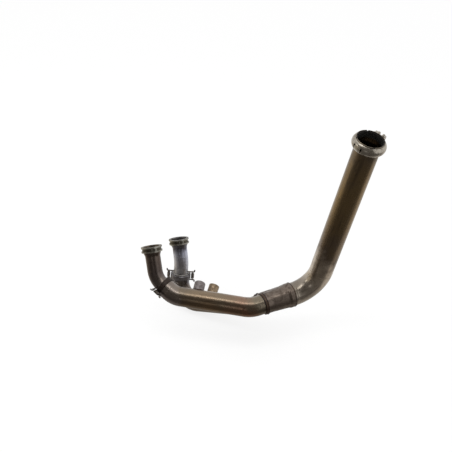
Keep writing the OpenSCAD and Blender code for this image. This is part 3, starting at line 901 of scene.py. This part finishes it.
def clamp_hardware():
    """The clamp's bolt and its nut."""
    origin, x, y, z = place(OUTLET_MOUTH - AXIS_OUTLET * (CLAMP_DROP + CLAMP_W), AXIS_OUTLET, BOLT_SIDE)
    middle = origin + x * BOLT_REACH + z * CLAMP_W / 2
    at = (middle, z, x, y)
    a = whole_turn(AROUND)
    tip = EAR_FACE + WASHER_T + NUT_H + BOLT_PAST
    head = hex_rings(at, BOLT_FLATS, -EAR_FACE - BOLT_HEAD, -EAR_FACE)
    head.append(put(at, circle(BOLT_FLATS * 0.5, -EAR_FACE - BOLT_HEAD)))
    head.append(put(at, circle(TINY, -EAR_FACE - BOLT_HEAD * 0.94)))
    shank = [put(at, circle(TINY, -EAR_FACE)), put(at, circle(BOLT_R * 0.97, -EAR_FACE))]
    for s in np.linspace(-EAR_FACE + 0.1 * MM, tip - 0.6 * MM, int((tip + EAR_FACE) / BOLT_PITCH * 7)):
        turn = (s / BOLT_PITCH - a / (2 * math.pi)) % 1
        r = BOLT_R * 0.985 - 0.5 * MM * np.clip(np.abs(turn - 0.5) * 2 - 0.12, 0, 0.8)
        shank.append(put(at, circle(r, s)))
    shank += [put(at, circle(BOLT_R * 0.72, tip)), put(at, circle(TINY, tip))]
    top = dress(skin("clamp_bolt_head", head, closed=False, sharp=25), "fastener", FASTENER)
    stem = dress(skin("clamp_bolt_stem", shank, closed=False, sharp=50), "fastener", FASTENER)
    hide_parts("clamp_bolt")
    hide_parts("clamp_bolt")
    base = EAR_FACE + WASHER_T
    hole = ((BOLT_R + 0.5 * MM, base + NUT_H), (BOLT_R + 0.1 * MM, base + NUT_H - 0.4 * MM),
            (BOLT_R + 0.1 * MM, base))
    nut = hex_rings(at, BOLT_FLATS, base + NUT_H, base)[1:] + [put(at, circle(r, s)) for r, s in hole]
    piece = dress(skin("clamp_nut_body", nut, sharp=25), "fastener", FASTENER)
    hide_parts("clamp_nut")


# The studio

def look():
    """The camera of the photograph."""
    elevation = 35
    focal_px, frame_px = 800, 452
    data = bpy.data.cameras.new("camera")
    data.sensor_width = 36
    data.lens = focal_px / frame_px * data.sensor_width
    data.clip_end = 20
    camera = add("camera", data)
    camera.location = (0.162, -1.396, 1.031)
    camera.rotation_euler = (math.radians(90 - elevation), 0, 0)
    bpy.context.scene.camera = camera


def lamp(name, at, aim, size, power):
    """A rectangular light that faces aim."""
    data = bpy.data.lights.new(name, "AREA")
    data.shape = "RECTANGLE"
    data.size, data.size_y = size
    data.energy = power
    light = add(name, data)
    light.location = at
    light.rotation_euler = (Vector(aim) - Vector(at)).to_track_quat("-Z", "Y").to_euler()


def shown_white(tree, shader, white, target):
    """Camera, glossy and transmission rays see white, and other rays see shader."""
    rays = tree.nodes.new("ShaderNodeLightPath")
    seen = rays.outputs["Is Camera Ray"]
    for ray in ("Is Glossy Ray", "Is Transmission Ray"):
        either = tree.nodes.new("ShaderNodeMath")
        either.operation = "MAXIMUM"
        tree.links.new(seen, either.inputs[0])
        tree.links.new(rays.outputs[ray], either.inputs[1])
        seen = either.outputs[0]
    mix = tree.nodes.new("ShaderNodeMixShader")
    tree.links.new(seen, mix.inputs[0])
    tree.links.new(shader, mix.inputs[1])
    tree.links.new(white, mix.inputs[2])
    tree.links.new(mix.outputs[0], target)


def surroundings():
    """White to the camera and in reflections, dimmer as a light."""
    ambient = 0.75
    world = bpy.data.worlds.new("world")
    bpy.context.scene.world = world
    world.use_nodes = True
    tree = world.node_tree
    plain = tree.nodes["Background"]
    plain.inputs["Color"].default_value = (1, 1, 1, 1)
    plain.inputs["Strength"].default_value = ambient
    white = tree.nodes.new("ShaderNodeBackground")
    white.inputs["Color"].default_value = (1, 1, 1, 1)
    white.inputs["Strength"].default_value = 1.0
    shown_white(tree, plain.outputs[0], white.outputs[0], tree.nodes["World Output"].inputs["Surface"])


def level(x, y, z):
    """Corners of a level board between two values of x and two of y."""
    return [(x[0], y[0], z), (x[1], y[0], z), (x[1], y[1], z), (x[0], y[1], z)]


def upright(start, end, z):
    """Corners of an upright board between two places, from one height to another."""
    return [(*start, z[0]), (*end, z[0]), (*end, z[1]), (*start, z[1])]


def board(name, corners):
    mesh = bpy.data.meshes.new(name)
    mesh.from_pydata(corners, [], [(0, 1, 2, 3)])
    return add(name, mesh)


def floor():
    """A white floor that keeps a faint shadow."""
    half, glow_strength, paper_share = 6, 1.12, 0.3
    ground = board("floor", level((-half, half), (-half, half), cad_low.z - 1 * MM))
    material = bpy.data.materials.new("floor_paper")
    material.use_nodes = True
    tree = material.node_tree
    paper = tree.nodes["Principled BSDF"]
    paper.inputs["Base Color"].default_value = (0.9, 0.9, 0.9, 1)
    paper.inputs["Roughness"].default_value = 1
    paper.inputs["Specular IOR Level"].default_value = 0
    glow = tree.nodes.new("ShaderNodeEmission")
    glow.inputs["Strength"].default_value = glow_strength
    both = tree.nodes.new("ShaderNodeMixShader")
    both.inputs[0].default_value = paper_share
    tree.links.new(glow.outputs[0], both.inputs[1])
    tree.links.new(paper.outputs[0], both.inputs[2])
    shown_white(tree, paper.outputs[0], both.outputs[0], tree.nodes["Material Output"].inputs["Surface"])
    ground.data.materials.append(material)


def card(name, corners, colour=(0.14, 0.13, 0.12)):
    """A studio card, dark unless a colour is given, that only reflections see."""
    sheet = board(name, corners)
    material = bpy.data.materials.new(name)
    material.use_nodes = True
    tree = material.node_tree
    glow = tree.nodes.new("ShaderNodeEmission")
    glow.inputs["Color"].default_value = (*colour, 1)
    tree.links.new(glow.outputs[0], tree.nodes["Material Output"].inputs["Surface"])
    sheet.data.materials.append(material)
    for ray in ("camera", "diffuse", "shadow", "transmission", "volume_scatter"):
        setattr(sheet, "visible_" + ray, False)


def studio():
    look()
    surroundings()
    floor()
    low = cad_low.z
    near, far, top = -0.15, -2.2, 2.4
    left, right = -1.6, 1.6
    card("card_behind_camera", upright((left, far), (2.0, far), (low, top)))
    card("card_overhead", level((left, 2.0), (far, -0.55), top))
    card("card_low", level((left, right), (far, -0.16), low))
    card("card_under", level((left, right), (-0.16, 0.06), low), (0.42, 0.4, 0.37))
    card("card_left_light", upright((-1.5, -0.8), (-1.5, 0.3), (low, 1.3)), (0.62, 0.57, 0.47))
    card("card_left", upright((left, far), (left, 0.5), (low, top)))
    card("card_right", level((0.45, right), (near, 1.2), low), (0.8, 0.76, 0.71))
    card("card_back_left", level((-1.2, -0.08), (0, 1.2), low), (0.85, 0.78, 0.64))
    lamp("softbox_above", (0.15, -0.3, 1.4), (0.15, -0.05, -0.1), (1.4, 0.3), 4.1)
    lamp("strip_in_front", (-0.25, -1.9, 0.35), (0.1, 0, 0), (0.3, 0.5), 0.45)
    lamp("fill_left", (-1.5, -0.2, 0.9), (0.2, 0, 0), (0.5, 0.9), 3)


# After each colour list come the painted sheen on the pipe's top and the painted shade on its underside.
primary("primary_pipe_left", PORT_LEFT, CORNER_LEFT, JOINT_LEFT, LEFT_BEND, BROWN_PRIMARY,
        (0.24, 0.2, 0.17), (0.1, 0.085, 0.08), "primary_left", 0.26)
primary("primary_pipe_right", PORT_RIGHT, CORNER_RIGHT, JOINT_RIGHT, RIGHT_BEND, BLUE_PRIMARY,
        (0.3, 0.31, 0.36), (0.13, 0.13, 0.14), "primary_right", 0.34)
FRONT_BOSS = sensor_frame(CORNER_FRONT, RUN_FRONT, BOSS_FRONT_AT)
REAR_BOSS = sensor_frame(CORNER_REAR, RUN_REAR, BOSS_REAR_AT)
down_pipe("front_pipe", [JOINT_LEFT, CORNER_FRONT, MERGE_FRONT, FRONT_INLET + DIR_OUT * INLET_DEPTH],
          FRONT_BEND, FRONT_BOSS, BRONZE)
down_pipe("rear_pipe", [JOINT_RIGHT, CORNER_REAR, MERGE_REAR, REAR_INLET + DIR_REAR * INLET_DEPTH],
          REAR_BEND, REAR_BOSS, REAR_BRONZE)
outlet_tube()
boss("sensor_boss_front", FRONT_BOSS, BOSS_FRONT_H, BOSS_GREY, "boss_grey")
boss("sensor_boss_rear", REAR_BOSS, BOSS_REAR_H, BOSS_TAN, "boss_tan")
joint_spring("spring_left_upper", JOINT_LEFT, DIR_LEFT, UP_SIDE, 1)
joint_spring("spring_left_lower", JOINT_LEFT, DIR_LEFT, UP_SIDE, -1)
joint_spring("spring_right_outer", JOINT_RIGHT, DIR_RIGHT, RIGHT_SIDE, 1)
joint_spring("spring_right_inner", JOINT_RIGHT, DIR_RIGHT, RIGHT_SIDE, -1)
ring_weld("right_primary_rim", JOINT_RIGHT - DIR_RIGHT * (SLIP_RING_W + 0.4 * MM), DIR_RIGHT,
          PRIMARY_R + 0.7 * MM, ripples=64, material=RIM, slot="primary_right")
ring_weld("left_primary_rim", JOINT_LEFT - DIR_LEFT * (SLIP_RING_W + 0.3 * MM), DIR_LEFT,
          PRIMARY_R + 0.6 * MM, ripples=64, slot="joint_dark")
ring_weld("front_inlet_weld", FRONT_INLET, DIR_OUT, INLET_RING_R - 0.4 * MM)
ring_weld("front_ring_weld", FRONT_INLET - DIR_OUT * (INLET_RING_W + 0.3 * MM), DIR_OUT, DOWN_R + 0.6 * MM)
ring_weld("rear_inlet_weld", REAR_INLET, DIR_REAR, INLET_RING_R - 0.4 * MM)
ring_weld("rear_ring_weld", REAR_INLET - DIR_REAR * (INLET_RING_W + 0.3 * MM), DIR_REAR, DOWN_R + 0.6 * MM)
ring_weld("neck_weld", MERGE + DIR_OUT * (NECK_LEN + 0.3 * MM), DIR_OUT, OUTLET_R + 0.9 * MM, ripples=70)
valley_weld()
clamp_hardware()

paint("port_collar_left", collar_steel("collar_left_steel", PORT_LEFT, AXIS_LEFT))
paint("port_collar_right", collar_steel("collar_right_steel", PORT_RIGHT, AXIS_RIGHT))
paint("slip_ring_left", DARK)
paint("slip_ring_right", RING_GREY)
for node in ("primary_hooks_left", "primary_hooks_right", "pipe_hooks_left", "pipe_hooks_right"):
    paint(node, SPRING)
for node in ("inlet_ring_front", "inlet_ring_rear"):
    paint(node, RING)
paint("collector", COLLECTOR)
paint("sealing_sleeve", SEAL)
paint("clamp_band", CLAMP)
paint("clamp_washer", FASTENER)

studio()
bpy.context.scene.view_settings.view_transform = "Standard"
